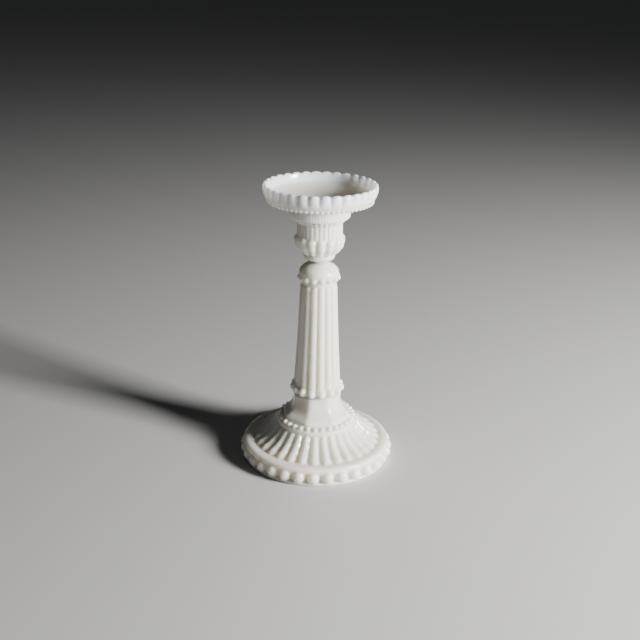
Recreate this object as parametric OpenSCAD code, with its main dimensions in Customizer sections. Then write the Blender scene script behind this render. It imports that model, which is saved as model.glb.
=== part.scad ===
// Pressed opal-glass candlestick: a beaded foot, a reeded column and an urn-shaped
// candle socket that carries a loose, scalloped drip pan. The axis is Z, the table is z = 0.

/* [Foot] */
// Radius of the thin rim that stands on the table
foot_r = 53; // [50:0.5:56]
// Height of the foot, up to the flat top of its eight-sided plinth
foot_h = 48.2; // [47:0.2:51]
// Thickness of the glass over the hollow underside
foot_wall = 5; // [4.5:0.1:6]
// Radius of one large bead round the edge
edge_bead_r = 4.3; // [4:0.05:4.5]
// Radius of one small bead round the plinth
small_bead_r = 1.9; // [1.6:0.1:2.1]
// Number of ribs, large beads and small beads round the foot
rib_count = 32; // [28:2:34]

/* [Column] */
// Height of the column between the two wafers
column_h = 96; // [86:0.2:106]
// Radius over the reeds at the bottom of the shaft
shaft_r_low = 16.5; // [16:0.1:16.8]
// Radius over the reeds at the top of the shaft
shaft_r_high = 12.8; // [12.4:0.1:13.2]
// Radius of one ball under the reeds
ball_r = 2.7; // [2.4:0.05:2.75]
// Number of reeds, each with a ball below and a bead above
reed_count = 15; // [12:1:15]

/* [Candle socket] */
// Radius of the hole for a dinner candle
candle_r = 11.5; // [11:0.1:12]
// Height of the socket, from the neck to the mouth
socket_h = 37.6; // [36:0.2:40]
// Radius of the collar round the mouth
collar_r = 20.9; // [19.5:0.1:22]
// Number of gadroons round the bulb
gadroon_count = 15; // [12:1:16]

/* [Drip pan] */
// Largest radius of the pan, over its scallops
pan_r = 38.9; // [37:0.1:41]
// Height of the pan's rim over the mouth of the socket
pan_h = 15.3; // [14.5:0.1:17]
// Radius of one scallop
scallop_r = 3.3; // [3:0.1:3.4]
// Number of scallops round the rim
scallop_count = 32; // [30:2:34]
// Gap all round between the pan's sleeve and the mouth of the socket
sleeve_gap = 0.3; // [0.2:0.05:0.5]

/* [Hidden] */
$fn = 72;

glass = [0.93, 0.92, 0.89];
wafer_glass = [0.86, 0.85, 0.81];
pan_glass = [0.90, 0.93, 0.95];

// The stack, from the table up
wafer_h = 1.4;
column_z = foot_h + wafer_h;
neck_z = column_z + column_h;
socket_z = neck_z + wafer_h;
mouth_z = socket_z + socket_h;
seat_gap = 0.1;

// Turn of each ring of ornament about the axis, from +X
foot_turn = -91.6;
plinth_turn = -105.5;
reed_turn = -80.2;
gadroon_turn = -85.3;
scallop_turn = -85.8;

// Foot
plinth_sides = 8;
plinth_z = 32;
plinth_low = 23.8;
plinth_waist = 16.1;
plinth_high = 16.4;
plinth_waist_z = foot_h - 4.6;
edge_bead_ring = foot_r - 2.05;
edge_bead_z = 5.9;
small_bead_ring = 25.4;
small_bead_z = 30.8;
lip_r = 1.8;
lip_centre = [foot_r - 2.4, 11.2];
sweep_r = 25.8;
sweep_centre = [foot_r - 1.3, 36.2];
rib_low = [foot_r - 10.2, 11];
rib_high = [30, 21.4];
rib_r_low = 2.9;
rib_r_high = 1.9;
hollow_low = [foot_r - 8 - foot_wall / 2, 9.2 - foot_wall / 2];
hollow_high = [28 - foot_wall / 2, 25.6 - foot_wall];

// Column
neck_r = 7.15;
shaft_foot_r = 16.6;
reed_r_low = 2.75;
reed_r_high = 2.15;
reed_z = 5.6;
reed_end_z = column_h - 16.4;
bead_ring = 13.1;
bead_r = 2;
bead_z = column_h - 10.8;
ball_z = 2.8;

// Socket and pan
mouth_r = 14.2;
mouth_depth = 6.6;
socket_floor = 13;
band_r = 15.3;
bulb_z = 14;
gadroon_r = 3.2;
sleeve_len = mouth_depth - 0.5;
dish_z = 2.9;
rim_wall = 2.9;

// Points of an arc round centre c, from angle a to angle b
function arc(c, r, a, b, n = 10) =
    [for (i = [0:n]) let (t = a + (b - a) * i / n) c + r * [cos(t), sin(t)]];

// Places its children round the axis, the first one at angle turn
module ring(count, turn) {
    for (i = [0:count - 1])
        rotate([0, 0, turn + i * 360 / count])
            children();
}

// A tapered rod with round ends in the plane of X and Z, from point p to point q, each [radius, height]
module rod(p, q, rp, rq) {
    length = norm(q - p);
    lean = atan2(q.x - p.x, q.y - p.y);
    translate([p.x, 0, p.y])
        rotate([0, lean, 0])
            rotate_extrude($fn = 32)
                polygon(concat(
                    [[0, -rp]],
                    [for (t = [-60, -30, 0]) rp * [cos(t), sin(t)]],
                    [for (t = [0, 30, 60]) [rq * cos(t), length + rq * sin(t)]],
                    [[0, length + rq]]));
}

// ---- foot ----

module foot_outside() {
    rotate_extrude()
        polygon(concat(
            [[0, 0], [foot_r - 0.4, 0], [foot_r, 0.4], [foot_r, 2], [foot_r - 2.6, 3]],
            [[foot_r - 1.8, 7.4]],
            arc(lip_centre, lip_r, -20, 110, 5),
            [[foot_r - 5.8, 12]],
            arc(sweep_centre, sweep_r, -105, -151, 7),
            arc([27.6, 27.6], 1, -20, 120, 5),
            [[26, 29.6], [23.4, plinth_z + 0.6], [0, plinth_z + 0.6]]));
}

module foot_underside() {
    rotate_extrude()
        polygon([[0, -1], [foot_r - 4, -1], [foot_r - 4, 0], [foot_r - 6.4, 2.6],
                 hollow_low, hollow_high, [16, 25.4], [0, 27.4]]);
}

// One flare of the plinth runs right through, and four of them crossed leave eight curved sides
module plinth_slab() {
    rise = plinth_waist_z - plinth_z;
    flare = [for (i = [0:6]) let (t = i / 6)
        [plinth_waist + (plinth_low - plinth_waist) * pow(1 - t, 1.9), plinth_z + rise * t]];
    side = concat(flare, [[plinth_high, foot_h]]);
    mirrored = [for (i = [len(side) - 1:-1:0]) [-side[i].x, side[i].y]];
    rotate([90, 0, 0])
        linear_extrude(height = 80, center = true)
            polygon(concat(side, mirrored));
}

module plinth() {
    intersection_for (i = [0:plinth_sides / 2 - 1])
        rotate([0, 0, plinth_turn + 180 / plinth_sides + i * 360 / plinth_sides])
            plinth_slab();
}

module foot() {
    color(glass)
        difference() {
            union() {
                foot_outside();
                plinth();
                ring(rib_count, foot_turn) {
                    translate([edge_bead_ring, 0, edge_bead_z]) sphere(edge_bead_r);
                    translate([small_bead_ring, 0, small_bead_z]) sphere(small_bead_r);
                    rod(rib_low, rib_high, rib_r_low, rib_r_high);
                }
            }
            foot_underside();
        }
}

// ---- wafers, the hot glass discs that join the pressings ----

module lower_wafer() {
    color(wafer_glass)
        translate([0, 0, foot_h])
            cylinder(h = wafer_h, r = plinth_high + 0.2);
}

module neck_wafer() {
    color(wafer_glass)
        translate([0, 0, neck_z])
            cylinder(h = wafer_h, r = neck_r - 0.15);
}

// ---- column ----

module column_core() {
    top = column_h;
    rotate_extrude()
        polygon([[0, 0], [shaft_foot_r, 0], [shaft_foot_r, 2.4], [shaft_r_low - 1.7, 5.6],
                 [shaft_r_high - 1.3, reed_end_z + 2], [bead_ring - 0.9, bead_z - 1.2],
                 [bead_ring + 0.2, bead_z + 1.6], [13.6, top - 8.2], [13.7, top - 6.4],
                 [12.6, top - 4.6], [10.4, top - 2.4], [8.2, top - 0.8], [neck_r, top], [0, top]]);
}

module column() {
    color(glass)
        translate([0, 0, column_z]) {
            column_core();
            ring(reed_count, reed_turn) {
                rod([shaft_r_low - reed_r_low, reed_z], [shaft_r_high - reed_r_high, reed_end_z],
                    reed_r_low, reed_r_high);
                translate([shaft_foot_r + 0.2, 0, ball_z]) sphere(ball_r);
                translate([bead_ring, 0, bead_z]) sphere(bead_r);
            }
        }
}

// ---- candle socket ----

module socket_outside() {
    collar_low = socket_h - mouth_depth;
    rotate_extrude()
        polygon([[0, 0], [neck_r, 0], [8.6, 0.5], [10.2, 2], [10.8, 3.5], [10.3, 4.3], [11, 5.4],
                 [13.4, 8.8], [15.2, 11.8], [15.8, bulb_z], [15.6, 17.2], [band_r, 18.6],
                 [band_r, collar_low - 2.6], [band_r + 0.8, collar_low - 1.3],
                 [collar_r - 0.8, collar_low - 0.9], [collar_r, collar_low],
                 [collar_r, socket_h], [0, socket_h]]);
}

module candle_socket() {
    color(glass)
        translate([0, 0, socket_z])
            difference() {
                union() {
                    socket_outside();
                    ring(gadroon_count, gadroon_turn)
                        rod([10.4, 5.8], [14.4, bulb_z], 1.4, gadroon_r);
                }
                translate([0, 0, socket_floor])
                    cylinder(h = socket_h, r = candle_r);
                translate([0, 0, socket_h - mouth_depth])
                    cylinder(h = socket_h, r = mouth_r);
            }
}

// ---- drip pan ----

// Heights are over the seat, the flat ring that rests on the mouth of the socket
module pan_outside() {
    wall_r = pan_r - 1.9;
    rotate_extrude()
        polygon(concat(
            [[0, 0], [collar_r - 0.5, 0], [34.4, 3.9], [35.2, 3.7], [35.9, 4.4], [wall_r - 0.2, 7.4],
             [wall_r, 9]],
            arc([wall_r - 0.6, pan_h - 0.6], 0.6, 0, 90, 3),
            [[0, pan_h]]));
}

module pan_scallops() {
    high = [pan_r - scallop_r, pan_h - scallop_r];
    ring(scallop_count, scallop_turn)
        rod([high.x - 1, high.y - 2.8], high, scallop_r, scallop_r);
}

module pan_inside() {
    floor_edge = [pan_r - 7.4, dish_z + 3.6];
    wall_edge = [pan_r - 5.2, dish_z + 6.2];
    rotate_extrude()
        polygon([[0, dish_z], [candle_r, dish_z], floor_edge, wall_edge,
                 [pan_r - rim_wall - 0.4, pan_h - 2], [pan_r - rim_wall, pan_h],
                 [pan_r - rim_wall, pan_h + 2], [0, pan_h + 2]]);
}

module drip_pan() {
    color(pan_glass)
        translate([0, 0, mouth_z + seat_gap])
            difference() {
                union() {
                    pan_outside();
                    pan_scallops();
                    translate([0, 0, -sleeve_len])
                        cylinder(h = sleeve_len + 1, r = mouth_r - sleeve_gap);
                }
                pan_inside();
                translate([0, 0, -sleeve_len - 1])
                    cylinder(h = sleeve_len + pan_h, r = candle_r);
            }
}

foot();
lower_wafer();
column();
neck_wafer();
candle_socket();
drip_pan();
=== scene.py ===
from math import pi, radians

import bpy
import numpy as np
from mathutils import Matrix, Vector


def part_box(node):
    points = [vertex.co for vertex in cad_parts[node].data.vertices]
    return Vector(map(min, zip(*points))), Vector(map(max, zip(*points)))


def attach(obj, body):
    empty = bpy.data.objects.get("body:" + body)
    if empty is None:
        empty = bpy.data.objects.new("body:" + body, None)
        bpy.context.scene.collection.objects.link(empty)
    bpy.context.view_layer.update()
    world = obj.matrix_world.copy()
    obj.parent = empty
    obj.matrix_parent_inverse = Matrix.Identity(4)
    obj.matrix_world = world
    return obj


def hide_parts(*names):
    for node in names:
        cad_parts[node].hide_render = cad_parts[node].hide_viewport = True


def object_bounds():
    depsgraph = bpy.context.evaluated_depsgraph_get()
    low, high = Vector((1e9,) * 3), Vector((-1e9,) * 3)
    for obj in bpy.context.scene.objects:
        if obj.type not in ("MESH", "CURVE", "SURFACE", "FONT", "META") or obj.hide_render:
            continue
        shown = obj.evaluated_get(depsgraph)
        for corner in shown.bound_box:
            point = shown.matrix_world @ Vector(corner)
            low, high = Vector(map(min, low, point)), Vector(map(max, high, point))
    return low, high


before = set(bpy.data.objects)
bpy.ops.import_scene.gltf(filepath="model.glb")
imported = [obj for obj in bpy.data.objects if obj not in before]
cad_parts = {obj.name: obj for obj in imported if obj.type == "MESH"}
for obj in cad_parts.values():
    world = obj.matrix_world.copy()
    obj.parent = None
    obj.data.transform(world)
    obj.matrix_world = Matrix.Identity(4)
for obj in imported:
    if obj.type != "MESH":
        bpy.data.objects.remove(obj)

# A pressed opal-glass candlestick. Every piece is a lathe form: a section drawn in
# millimetres, turned about the Z axis, with its pressed ornament raised from it. The lowest
# point of a section goes to the lower end of the piece's CAD node.

CAD_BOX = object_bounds()
MM = 0.001
HEIGHT = CAD_BOX[1][2] - CAD_BOX[0][2]

# How many of each ornament there are in its ring
RIBS, PLINTH_SIDES = 32, 8
REEDS = 15
GADROONS, BAND_REEDS, FINE_REEDS = 15, 30, 64
SCALLOPS, PEARLS = 32, 64

# Turn of each ring of ornament about the axis, from +X
FOOT_TURN = radians(-91.6)
PLINTH_TURN = radians(-105.5)
REED_TURN = radians(-80.2)
BALL_TURN = radians(-78.6)
GADROON_TURN = radians(-85.3)
BAND_TURN = radians(-74.5)
SCALLOP_TURN = radians(-85.0)

# A ball is (ring, height, radius) and, where it isn't round, how tall it is for its width
EDGE_BEAD = (50.95, 5.9, 4.3, 1.06)
SMALL_BEAD = (26.2, 29.8, 1.65)
COLUMN_BALL = (16.85, 2.8, 2.65, 1.05)
COLUMN_BEAD = (13.15, 85.3, 1.95)
PEARL = (35.05, 3.95, 1.15)

# The middle line of a rod of ornament, in points of (ring, height, radius). A rib sweeps
# outward as it comes down, a band reed flares out under the collar, and a gadroon swells
# from a point to a round head.
RIB = [(28.9, 24.0, 1.75), (31.6, 20.2, 2.1), (36.0, 16.0, 2.6), (41.4, 12.4, 3.1),
       (42.6, 11.6, 3.2)]
REED = [(13.95, 4.4, 2.8), (11.9, 45, 2.45), (10.7, 78.6, 2.2)]
BAND_REED = [(14.0, 16.5, 1.6), (14.0, 27.2, 1.5), (16.0, 28.8, 1.35)]
GADROON = [(11.0, 5.2, 0.8), (12.7, 7.8, 1.6), (14.0, 11.1, 2.6), (14.4, 14.9, 3.15)]

# Half the width of the plinth across its flat sides, in points of (height, half width)
PLINTH_FLARE = [(31, 23.5), (32.6, 23.2), (33.6, 22.4), (34.6, 21.3), (35.8, 20.0),
                (37.2, 18.8), (39, 17.7), (41, 16.9), (43.6, 16.4), (46, 16.3), (48.3, 16.6)]

# In the plan of the pan, a scallop is an arc of radius SCALLOP_R about a point on the ring
# SCALLOP_RING, and reaches out to PAN_R
SCALLOP_RING, SCALLOP_R, PAN_R = 34.4, 4.5, 38.9

# Radius of each wafer, how far in its round edge begins, and how much of it is a bulge
LOWER_WAFER_R, NECK_WAFER_R = 16.65, 6.9
WAFER_EDGE, WAFER_BULGE = 0.9, 0.1

TINY = 1e-12


# ------------------------------------------------------------------ shaping

def smooth_min(a, b, soft):
    """The lower of two distances, blended over a width of soft."""
    h = np.maximum(soft - np.abs(a - b), 0) / soft
    return np.minimum(a, b) - h * h * soft / 4


def smooth_max(a, b, soft):
    return -smooth_min(-a, -b, soft)


def cut_corners(points, passes):
    """Rounds an open polyline by cutting a quarter off both ends of every side. The ends of
    the line itself stay."""
    for _ in range(passes):
        a, b = points[:-1], points[1:]
        cut = np.stack([0.75 * a + 0.25 * b, 0.25 * a + 0.75 * b], axis=1)
        points = np.vstack([points[:1], cut.reshape(-1, points.shape[1]), points[-1:]])
    return points


class Section:
    """A rounded section. Each given point is (radius, height, lean, reach, step): lean is the
    rise in degrees of the line along which the ornament stands up from it, reach is how far
    above it the ornament may reach, and step is the spacing of the mesh's rows there. Further
    values of a point are kept as the rows of extra."""

    def __init__(self, points, passes=3):
        fine = cut_corners(np.array(points, float), passes)
        length = np.hypot(*np.diff(fine[:, :2], axis=0).T)
        step = 0.5 * (fine[1:, 4] + fine[:-1, 4])
        rows = np.concatenate([[0], np.cumsum(length / step)])
        at = np.linspace(0, rows[-1], int(round(rows[-1])) + 1)
        columns = [np.interp(at, rows, values) for values in fine.T]
        self.r, self.z, lean, self.reach, _ = columns[:5]
        self.lean = np.radians(lean)
        self.extra = columns[5:]
        self.fine = fine[:, :2]

    def drop_last_row(self):
        """A closed section's last point repeats its first."""
        self.r, self.z, self.lean, self.reach, *self.extra = (
            values[:-1] for values in (self.r, self.z, self.lean, self.reach, *self.extra))

    def distance(self, r, z):
        """Distance from points (r, z) to the section's outline."""
        a, b = self.fine[:-1], self.fine[1:]
        ab = b - a
        pr, pz = r[..., None] - a[:, 0], z[..., None] - a[:, 1]
        t = (pr * ab[:, 0] + pz * ab[:, 1]) / np.maximum((ab ** 2).sum(axis=1), TINY)
        t = np.clip(t, 0, 1)
        return np.sqrt(((pr - t * ab[:, 0]) ** 2 + (pz - t * ab[:, 1]) ** 2).min(axis=-1))


def raise_ornament(section, phi, solid, steps=36, stride=0.9, samples=28):
    """Moves every row's points out along its lean, to the surface of solid(base, rho, z, phi).
    They start at the end of the row's reach, and each step takes them in by stride times
    their distance from the surface. The distance base, to the section itself, is read from a
    table of samples along the lean."""
    r, z = section.r[:, None], section.z[:, None]
    lean_r, lean_z = np.cos(section.lean)[:, None], np.sin(section.lean)[:, None]
    t = section.reach[:, None] * np.linspace(0, 1, samples)
    table = section.distance(r + lean_r * t, z + lean_z * t)
    row = np.arange(len(section.r))[:, None] * np.ones(len(phi), int)
    reach = section.reach[:, None] * np.ones_like(phi)
    t = reach
    for _ in range(steps):
        along = t / np.maximum(reach, TINY) * (samples - 1)
        k = np.clip(along.astype(int), 0, samples - 2)
        base = table[row, k] * (1 - along + k) + table[row, k + 1] * (along - k)
        away = solid(base, r + lean_r * t, z + lean_z * t, phi)
        t = np.clip(t - stride * away, 0, reach)
    return r + lean_r * t, z + lean_z * t


def sectors(phi, count, turn):
    """Angle from the nearest of count evenly spaced directions."""
    pitch = 2 * pi / count
    return (phi - turn + pitch / 2) % pitch - pitch / 2


def ball(rho, z, angle, ring, height, radius, tall=1.0):
    """Distance from a ball that lies in the direction from which angle is measured."""
    x, y = rho * np.cos(angle) - ring, rho * np.sin(angle)
    return np.sqrt(x * x + y * y + ((z - height) / tall) ** 2) - radius


def rod(rho, z, angle, p, q):
    """Distance from a round-ended tapered rod between p and q, each (ring, height, radius)."""
    x, y = rho * np.cos(angle), rho * np.sin(angle)
    dx, dz = q[0] - p[0], q[1] - p[1]
    t = np.clip(((x - p[0]) * dx + (z - p[1]) * dz) / (dx * dx + dz * dz), 0, 1)
    away = np.sqrt((x - p[0] - t * dx) ** 2 + y * y + (z - p[1] - t * dz) ** 2)
    return away - (p[2] + (q[2] - p[2]) * t)


def add_rods(solid, rho, z, phi, count, turn, spine, beside, soft):
    """Adds rods of one spine all round. Each melts into its neighbours over a width of beside,
    and into the solid over a width of soft."""
    angle = np.abs(sectors(phi, count, turn))
    for p, q in zip(spine, spine[1:]):
        pair = [rod(rho, z, a, p, q) for a in (angle, 2 * pi / count - angle)]
        solid = smooth_min(solid, smooth_min(*pair, beside), soft)
    return solid


def raised(solid):
    """The surface of a section with its ornament raised to solid."""
    return lambda section, phi: raise_ornament(section, phi, solid)


def plain(section, phi):
    """The surface of a section with no ornament."""
    return section.r[:, None] + 0 * phi, section.z[:, None] + 0 * phi


def volume_sign(verts, quads):
    """Above zero where the faces look outward."""
    a, b, c, d = (verts[quads[:, k]] for k in range(4))
    return float((np.cross(a, b) * c).sum() + (np.cross(a, c) * d).sum())


def lathe(name, node, section, surface, columns, closed=False):
    """Makes the mesh of a piece from its section. surface gives the radius and height of every
    point, columns is how many points there are in a turn, and a section that isn't closed
    starts and ends on the axis."""
    phi = np.arange(columns) * 2 * pi / columns
    r, z = surface(section, phi)
    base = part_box(node)[0][2] / MM - section.z.min()
    z = z + base
    if not closed:
        r, z = r[1:-1], z[1:-1]
    rows = len(r)
    verts = np.stack([r * np.cos(phi), r * np.sin(phi), z], axis=-1).reshape(-1, 3)
    i, j = np.meshgrid(np.arange(rows if closed else rows - 1), np.arange(columns),
                       indexing="ij")
    below, beside = (i + 1) % rows, (j + 1) % columns
    quads = np.stack([i * columns + j, i * columns + beside, below * columns + beside,
                      below * columns + j], axis=-1).reshape(-1, 4)
    faces = quads.tolist()
    if not closed:
        first, last, end = len(verts), len(verts) + 1, (rows - 1) * columns
        verts = np.vstack([verts, [(0, 0, section.z[k] + base) for k in (0, -1)]])
        faces += [[first, (k + 1) % columns, k] for k in range(columns)]
        faces += [[last, end + k, end + (k + 1) % columns] for k in range(columns)]
    if volume_sign(verts, quads) < 0:
        faces = [face[::-1] for face in faces]
    mesh = bpy.data.meshes.new(name)
    mesh.from_pydata((verts * MM).tolist(), [], faces)
    mesh.validate()
    mesh.shade_smooth()
    return add_object(name, mesh)


def add_object(name, data):
    thing = bpy.data.objects.new(name, data)
    bpy.context.scene.collection.objects.link(thing)
    return thing


# ------------------------------------------------------------------- pieces

def foot_solid(base, rho, z, phi):
    edge = sectors(phi, RIBS, FOOT_TURN)
    solid = smooth_min(base, ball(rho, z, edge, *EDGE_BEAD), soft=0.7)
    solid = smooth_min(solid, ball(rho, z, edge, *SMALL_BEAD), soft=0.6)
    solid = add_rods(solid, rho, z, phi, RIBS, FOOT_TURN, RIB, beside=2.8, soft=0.9)
    return smooth_min(solid, plinth(rho, z, phi), soft=0.8)


def plinth(rho, z, phi, corner_soft=1.4, flare_scale=0.8):
    """Distance from eight concave sides that meet in soft corners. Its scale allows for the
    lean of the sides, so that a point moved in doesn't step past them."""
    apothem = np.interp(z, *zip(*PLINTH_FLARE))
    corner = pi / PLINTH_SIDES
    angle = np.abs(sectors(phi, PLINTH_SIDES, PLINTH_TURN + corner))
    side = smooth_max(rho * np.cos(angle), rho * np.cos(2 * corner - angle), corner_soft)
    return (side - apothem) * flare_scale


def make_foot():
    section = Section([
        (0, 48.2, 0, 0, 2.4), (13.8, 48.2, 0, 0, 2.4), (14.2, 48.2, 0, 4, 0.5),
        (14.4, 47.6, 0, 6, 0.5), (14.2, 44.0, 0, 6, 0.5), (14.8, 41.0, 5, 6, 0.45),
        (16.6, 38.0, 15, 6, 0.45), (19.6, 35.2, 25, 6, 0.45), (22.6, 32.4, 35, 6, 0.4),
        (24.6, 29.9, 42, 5, 0.36), (25.8, 28.5, 45, 5, 0.36), (26.9, 28.4, 50, 5, 0.36),
        (28.6, 28.9, 45, 5, 0.36), (28.7, 27.0, 40, 5, 0.36), (28.2, 25.4, 40, 5, 0.36),
        (29.1, 23.8, 42, 5, 0.4), (31.8, 20.1, 48, 5, 0.45), (35.8, 16.4, 54, 5, 0.45),
        (40.2, 13.5, 60, 5, 0.45), (43.6, 12.4, 66, 5, 0.4), (45.6, 12.5, 72, 4, 0.36),
        (47.2, 12.9, 75, 3, 0.36), (49.2, 13.0, 65, 3, 0.4), (51.2, 12.7, 50, 4, 0.4),
        (52.6, 11.5, 25, 5, 0.4), (52.3, 9.0, 8, 6, 0.36), (51.0, 7.6, 3, 6, 0.36),
        (51.0, 4.4, 0, 6, 0.36), (51.3, 2.4, 0, 6, 0.36), (53.0, 2.2, 0, 3, 0.36),
        (53.1, 1.0, 0, 1, 0.4), (52.9, 0, 0, 0, 0.4), (51.0, 0, 0, 0, 0.6),
        (49.3, 0, 0, 0, 0.6), (48.6, 0.4, 0, 0, 0.8), (45.6, 3.4, 0, 0, 1.6),
        (40.4, 8.2, 0, 0, 1.8), (25.2, 20.8, 0, 0, 2.2), (15, 26.6, 0, 0, 2.4),
        (0, 27.6, 0, 0, 2.6)])
    return lathe("foot_glass", "foot", section, raised(foot_solid), columns=448)


def column_solid(base, rho, z, phi):
    solid = add_rods(base, rho, z, phi, REEDS, REED_TURN, REED, beside=0.8, soft=0.5)
    balls = ball(rho, z, sectors(phi, REEDS, BALL_TURN), *COLUMN_BALL)
    beads = ball(rho, z, sectors(phi, REEDS, REED_TURN), *COLUMN_BEAD)
    return smooth_min(smooth_min(solid, balls, soft=0.9), beads, soft=0.9)


def make_column():
    section = Section([
        (0, 0, 0, 0, 2.4), (15.0, 0, 0, 0, 2.4), (16.2, 0, 0, 0.5, 0.5),
        (16.5, 0.5, 0, 4, 0.35), (16.4, 2.6, 0, 4, 0.35), (15.4, 4.4, 0, 4, 0.35),
        (14.2, 6.0, 0, 4, 0.4), (14.1, 10, 0, 3, 0.55), (10.7, 76, 0, 3, 0.55),
        (10.7, 79.2, 0, 3, 0.35), (12.2, 81.0, 0, 3, 0.35), (12.5, 83.0, 0, 3, 0.3),
        (12.6, 85.2, 0, 3, 0.3), (13.4, 86.8, 5, 3, 0.35), (13.8, 88.2, 10, 1, 0.4),
        (13.7, 89.8, 20, 1, 0.4), (12.9, 91.6, 30, 1, 0.4), (10.7, 93.6, 40, 1, 0.4),
        (8.2, 95.0, 45, 0, 0.4), (7.2, 95.6, 45, 0, 0.4), (6.9, 96, 0, 0, 0.5),
        (6.0, 96, 0, 0, 1.5), (0, 96, 0, 0, 2)])
    return lathe("column_glass", "column", section, raised(column_solid), columns=384)


def socket_solid(base, rho, z, phi):
    solid = add_rods(base, rho, z, phi, BAND_REEDS, BAND_TURN, BAND_REED, beside=0.5, soft=0.3)
    return add_rods(solid, rho, z, phi, GADROONS, GADROON_TURN, GADROON, beside=0.3, soft=0.5)


def socket_surface(section, phi, relief=0.2, roundness=0.6):
    """The ornament, and fine reeds of low relief all round the collar."""
    r, z = raise_ornament(section, phi, socket_solid)
    fine_reed = np.abs(np.cos(FINE_REEDS / 2 * (phi - GADROON_TURN))) ** roundness
    return r + relief * (fine_reed - 1) * section.extra[0][:, None], z


def make_socket():
    # The last number is 1 where the collar is reeded
    section = Section([
        (0, 0, 0, 0, 2, 0), (6.4, 0, 0, 0, 1.5, 0), (6.9, 0, 0, 0, 0.4, 0),
        (8.2, 0.5, 0, 0, 0.4, 0), (10.2, 1.4, 0, 0, 0.4, 0), (10.9, 2.8, 0, 0.5, 0.35, 0),
        (10.8, 4.2, 0, 1, 0.35, 0), (10.3, 4.7, 0, 3, 0.35, 0), (11.3, 5.8, 0, 4, 0.35, 0),
        (13.5, 8.3, 0, 4, 0.4, 0), (15.0, 11.5, 0, 4, 0.4, 0), (15.3, 14.6, 0, 4, 0.4, 0),
        (14.7, 17.8, 0, 4, 0.4, 0), (14.2, 20.0, 0, 3, 0.5, 0), (14.2, 25.4, 0, 3, 0.45, 0),
        (14.2, 27.4, -8, 3.8, 0.3, 0), (14.3, 29.1, -20, 4.2, 0.25, 0),
        (14.9, 29.9, -35, 3.2, 0.25, 0), (16.8, 29.9, -50, 2.2, 0.25, 0),
        (18.6, 29.8, -50, 0.8, 0.25, 0), (20.0, 30.2, -20, 0, 0.3, 0),
        (20.7, 31.4, 0, 0, 0.3, 1), (20.7, 33.0, 0, 0, 0.4, 1), (20.7, 36.2, 0, 0, 0.5, 1),
        (20.7, 37.3, 0, 0, 0.3, 0), (20.3, 37.6, 0, 0, 0.3, 0), (19.8, 37.6, 0, 0, 0.4, 0),
        (14.9, 37.6, 0, 0, 0.8, 0), (14.2, 37.6, 0, 0, 0.3, 0), (14.2, 36.8, 0, 0, 0.4, 0),
        (14.2, 31.4, 0, 0, 0.9, 0), (14.2, 31.0, 0, 0, 0.3, 0), (13.6, 31.0, 0, 0, 0.4, 0),
        (11.9, 31.0, 0, 0, 0.4, 0), (11.5, 30.8, 0, 0, 0.4, 0), (11.5, 29.8, 0, 0, 0.8, 0),
        (11.5, 15.0, 0, 0, 1.2, 0), (11.3, 13.4, 0, 0, 0.5, 0), (10.0, 13.0, 0, 0, 0.8, 0),
        (0, 13.0, 0, 0, 2, 0)])
    return lathe("socket_glass", "candle_socket", section, socket_surface, columns=512)


def pan_solid(base, rho, z, phi):
    """A ring of small pearls along the lower edge, two to a scallop."""
    pearls = ball(rho, z, sectors(phi, PEARLS, SCALLOP_TURN + pi / PEARLS), *PEARL)
    return smooth_min(base, pearls, soft=0.7)


def pan_surface(section, phi, soft=0.9):
    """Scallops push the wall out, and the rim drops between them."""
    angle = np.abs(sectors(phi, SCALLOPS, SCALLOP_TURN))
    plan = [SCALLOP_RING * np.cos(a)
            + np.sqrt(np.maximum(SCALLOP_R ** 2 - (SCALLOP_RING * np.sin(a)) ** 2, 0))
            for a in (angle, 2 * pi / SCALLOPS - angle)]
    dip = smooth_max(*plan, soft) - PAN_R
    wall, rim = (weight[:, None] for weight in section.extra)
    r, z = raise_ornament(section, phi, pan_solid)
    return r + dip * wall, z + dip * rim


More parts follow.
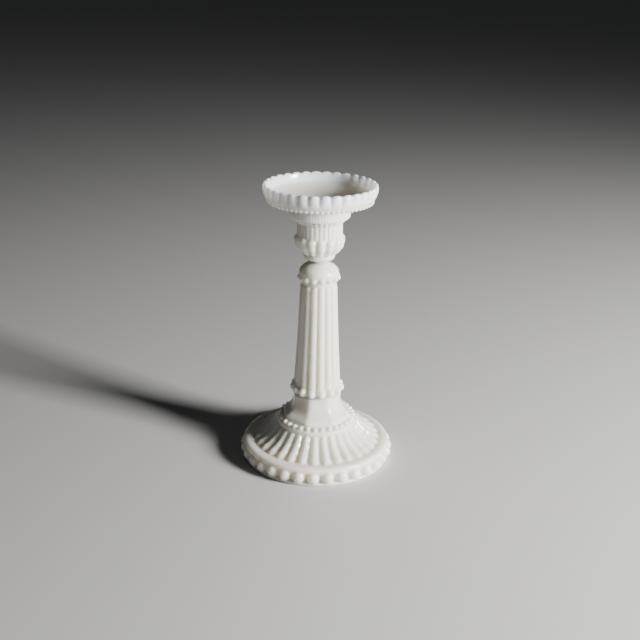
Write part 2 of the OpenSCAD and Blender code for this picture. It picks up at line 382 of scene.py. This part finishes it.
def make_pan():
    # Heights are over the seat, where the pan rests on the socket. The last two numbers are
    # how far the scallops show in the wall, and how far the rim dips between them.
    section = Section([
        (11.5, 2.0, 0, 0, 0.6, 0, 0), (11.5, -5.7, 0, 0, 1.8, 0, 0),
        (11.7, -6.1, 0, 0, 0.3, 0, 0), (13.6, -6.1, 0, 0, 0.4, 0, 0),
        (13.9, -5.9, 0, 0, 0.3, 0, 0), (13.9, -5.2, 0, 0, 0.9, 0, 0),
        (13.9, -0.3, 0, 0, 0.9, 0, 0), (14.1, 0, 0, 0, 0.3, 0, 0),
        (20.6, 0, 0, 0, 1.2, 0, 0), (21.4, 0.1, 0, 0, 0.5, 0, 0),
        (32.4, 3.1, 0, 0, 0.9, 0, 0), (33.6, 3.1, -60, 2, 0.25, 0, 0),
        (34.5, 3.2, -30, 2.5, 0.2, 0, 0), (35.0, 3.9, -5, 2.5, 0.2, 0, 0),
        (35.6, 4.7, 10, 2.5, 0.2, 0, 0), (36.5, 5.8, 10, 1, 0.25, 0, 0),
        (37.4, 7.2, 0, 0, 0.3, 0.2, 0), (38.1, 9.0, 0, 0, 0.3, 0.6, 0),
        (38.6, 10.8, 0, 0, 0.3, 1, 0.1), (38.75, 12.5, 0, 0, 0.3, 1, 0.4),
        (38.7, 13.8, 0, 0, 0.22, 1, 0.6), (38.3, 14.8, 0, 0, 0.18, 1, 0.65),
        (37.4, 15.3, 0, 0, 0.18, 0.6, 0.65), (36.3, 14.8, 0, 0, 0.2, 0.1, 0.45),
        (35.9, 13.6, 0, 0, 0.3, 0, 0.05), (35.6, 12.4, 0, 0, 0.4, 0, 0),
        (34.9, 10.4, 0, 0, 0.5, 0, 0), (34.2, 8.9, 0, 0, 0.25, 0, 0),
        (33.8, 8.4, 0, 0, 0.2, 0, 0), (33.1, 8.1, 0, 0, 0.25, 0, 0),
        (31.0, 7.5, 0, 0, 0.5, 0, 0), (26.0, 6.1, 0, 0, 1.4, 0, 0),
        (13.4, 3.1, 0, 0, 1.2, 0, 0), (12.2, 2.8, 0, 0, 0.3, 0, 0),
        (11.5, 2.0, 0, 0, 0.3, 0, 0)])
    section.drop_last_row()
    return lathe("drip_pan_glass", "drip_pan", section, pan_surface, columns=576, closed=True)


def make_wafer(name, node, radius):
    """A disc of glass squeezed out into a round edge."""
    low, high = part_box(node)
    tall = (high[2] - low[2]) / MM
    inner, edge = radius - WAFER_EDGE, radius - WAFER_BULGE
    section = Section([
        (0, 0, 0, 0, 1.5), (inner, 0, 0, 0, 0.8), (edge, 0, 0, 0, 0.15),
        (radius, tall / 2, 0, 0, 0.15),
        (edge, tall, 0, 0, 0.15), (inner, tall, 0, 0, 0.8), (0, tall, 0, 0, 1.5)])
    return lathe(name, node, section, plain, columns=256)


# ---------------------------------------------------------------- materials

def add_node(nodes, kind, **settings):
    """Adds a shader node with its inputs set. A space in an input's name is given as _."""
    node = nodes.new("ShaderNode" + kind)
    for key, value in settings.items():
        node.inputs[key.replace("_", " ")].default_value = value
    return node


def opal_glass(name, colour, shade):
    """Opaque white glass: a glossy skin over a cloudy body, with faint cords and chill marks."""
    material = bpy.data.materials.new(name)
    material.use_nodes = True
    nodes, links = material.node_tree.nodes, material.node_tree.links
    shader = nodes["Principled BSDF"]
    shader.inputs["IOR"].default_value = 1.5
    shader.inputs["Subsurface Weight"].default_value = 1.0
    shader.inputs["Subsurface Radius"].default_value = (1.0, 0.92, 0.83)
    shader.inputs["Subsurface Scale"].default_value = 0.008
    place = add_node(nodes, "TexCoord").outputs["Object"]

    # Cloudy cords of denser and thinner opal drawn up the piece by the press
    stretch = add_node(nodes, "Mapping", Scale=(55, 55, 14))
    cords = add_node(nodes, "TexNoise", Detail=4, Distortion=1.2)
    tint = add_node(nodes, "ValToRGB")
    for stop, position, rgb in zip(tint.color_ramp.elements, (0.3, 0.62), (shade, colour)):
        stop.position = position
        stop.color = (*rgb, 1)
    links.new(place, stretch.inputs["Vector"])
    links.new(stretch.outputs["Vector"], cords.inputs["Vector"])
    links.new(cords.outputs["Fac"], tint.inputs["Fac"])
    links.new(tint.outputs["Color"], shader.inputs["Base Color"])

    # The skin is duller where the mould chilled it
    chill = add_node(nodes, "TexNoise", Scale=160, Detail=3)
    gloss = add_node(nodes, "MapRange", From_Min=0.3, From_Max=0.7, To_Min=0.13, To_Max=0.22)
    links.new(place, chill.inputs["Vector"])
    links.new(chill.outputs["Fac"], gloss.inputs["Value"])
    links.new(gloss.outputs["Result"], shader.inputs["Roughness"])

    # A slight ripple left by the press
    ripple = add_node(nodes, "TexNoise", Scale=260, Detail=2)
    bump = add_node(nodes, "Bump", Strength=0.042, Distance=0.0003)
    links.new(place, ripple.inputs["Vector"])
    links.new(ripple.outputs["Fac"], bump.inputs["Height"])
    links.new(bump.outputs["Normal"], shader.inputs["Normal"])
    return material


def paint_cool_sheen(material, colour, low, high):
    """Fades the material to a cooler white between two heights: a painted sheen, the bluish cast
    that the brightly lit upper glass of the pan shows.
    """
    nodes, links = material.node_tree.nodes, material.node_tree.links
    target = nodes["Principled BSDF"].inputs["Base Color"]
    place = add_node(nodes, "TexCoord")
    parts = add_node(nodes, "SeparateXYZ")
    fade = add_node(nodes, "MapRange", From_Min=low, From_Max=high)
    blend = add_node(nodes, "MixRGB", Color2=(*colour, 1))
    links.new(place.outputs["Object"], parts.inputs["Vector"])
    links.new(parts.outputs["Z"], fade.inputs["Value"])
    links.new(fade.outputs["Result"], blend.inputs["Fac"])
    links.new(target.links[0].from_socket, blend.inputs["Color1"])
    links.new(blend.outputs["Color"], target)


def matt(name, colour, roughness):
    material = bpy.data.materials.new(name)
    material.use_nodes = True
    shader = material.node_tree.nodes["Principled BSDF"]
    shader.inputs["Base Color"].default_value = (*colour, 1)
    shader.inputs["Roughness"].default_value = roughness
    return material


# -------------------------------------------------------------------- stage

def make_floor(half, colour):
    """A square of plain paper at z = 0, from -half to half each way."""
    mesh = bpy.data.meshes.new("floor")
    corners = [(-half, -half, 0), (half, -half, 0), (half, half, 0), (-half, half, 0)]
    mesh.from_pydata(corners, [], [(0, 1, 2, 3)])
    mesh.materials.append(matt("floor_paper", colour, roughness=0.55))
    floor = add_object("floor", mesh)


def make_light(name, place, size, power, colour):
    """A soft rectangular light that looks at the middle of the object."""
    light = bpy.data.lights.new(name, "AREA")
    light.shape = "RECTANGLE"
    light.size, light.size_y = size
    light.energy = power
    light.color = colour
    lamp = add_object(name, light)
    lamp.location = place
    toward = Vector((0, 0, HEIGHT / 2)) - lamp.location
    lamp.rotation_euler = toward.to_track_quat("-Z", "Y").to_euler()


def make_camera(place, pitch, roll, lens):
    """A camera that looks down by pitch toward +Y and is rolled by roll, both in degrees. Its
    place is in heights of the object."""
    camera = bpy.data.cameras.new("camera")
    camera.lens = lens
    camera.sensor_width = 36
    holder = add_object("camera", camera)
    holder.matrix_world = (Matrix.Translation([HEIGHT * v for v in place])
                           @ Matrix.Rotation(radians(90) - radians(pitch), 4, "X")
                           @ Matrix.Rotation(radians(roll), 4, "Z"))
    bpy.context.scene.camera = holder


def make_world(colour, strength):
    world = bpy.data.worlds.new("studio")
    bpy.context.scene.world = world
    world.use_nodes = True
    background = world.node_tree.nodes["Background"]
    background.inputs["Color"].default_value = (*colour, 1)
    background.inputs["Strength"].default_value = strength


# ----------------------------------------------------------------- assembly

make_camera(place=(0.0064, -3.0197, 1.6783), pitch=21.1, roll=1.05, lens=51.98)
make_world(colour=(0.93, 0.95, 1.0), strength=0.03)
make_floor(half=20, colour=(0.5, 0.5, 0.5))
make_light("key", place=(0.98, -0.54, 0.45), size=(0.26, 0.3), power=53,
           colour=(1.0, 0.985, 0.96))

body_glass = opal_glass("opal_glass_body", colour=(0.812, 0.784, 0.722),
                        shade=(0.755, 0.71, 0.615))
wafer_glass = opal_glass("opal_glass_wafer", colour=(0.792, 0.762, 0.7),
                         shade=(0.735, 0.69, 0.605))
pan_glass = opal_glass("opal_glass_pan", colour=(0.79, 0.775, 0.735),
                       shade=(0.73, 0.71, 0.66))
# Painted sheen: the top of the pan is faded to a cooler white, the look of the brightly lit rim.
pan_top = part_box("drip_pan")[1][2]
paint_cool_sheen(pan_glass, colour=(0.765, 0.80, 0.83), low=pan_top - 8 * MM, high=pan_top - 4 * MM)

for piece, node, body, slot, material in (
        (make_foot(), "foot", "candlestick", "opal_glass", body_glass),
        (make_wafer("lower_wafer_glass", "lower_wafer", LOWER_WAFER_R), "lower_wafer",
         "candlestick", "opal_glass_wafer", wafer_glass),
        (make_column(), "column", "candlestick", "opal_glass", body_glass),
        (make_wafer("neck_wafer_glass", "neck_wafer", NECK_WAFER_R), "neck_wafer",
         "candlestick", "opal_glass_wafer", wafer_glass),
        (make_socket(), "candle_socket", "candlestick", "opal_glass", body_glass),
        (make_pan(), "drip_pan", "drip_pan", "opal_glass_pan", pan_glass)):
    piece.data.materials.append(material)
    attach(piece, body)
    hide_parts(node)
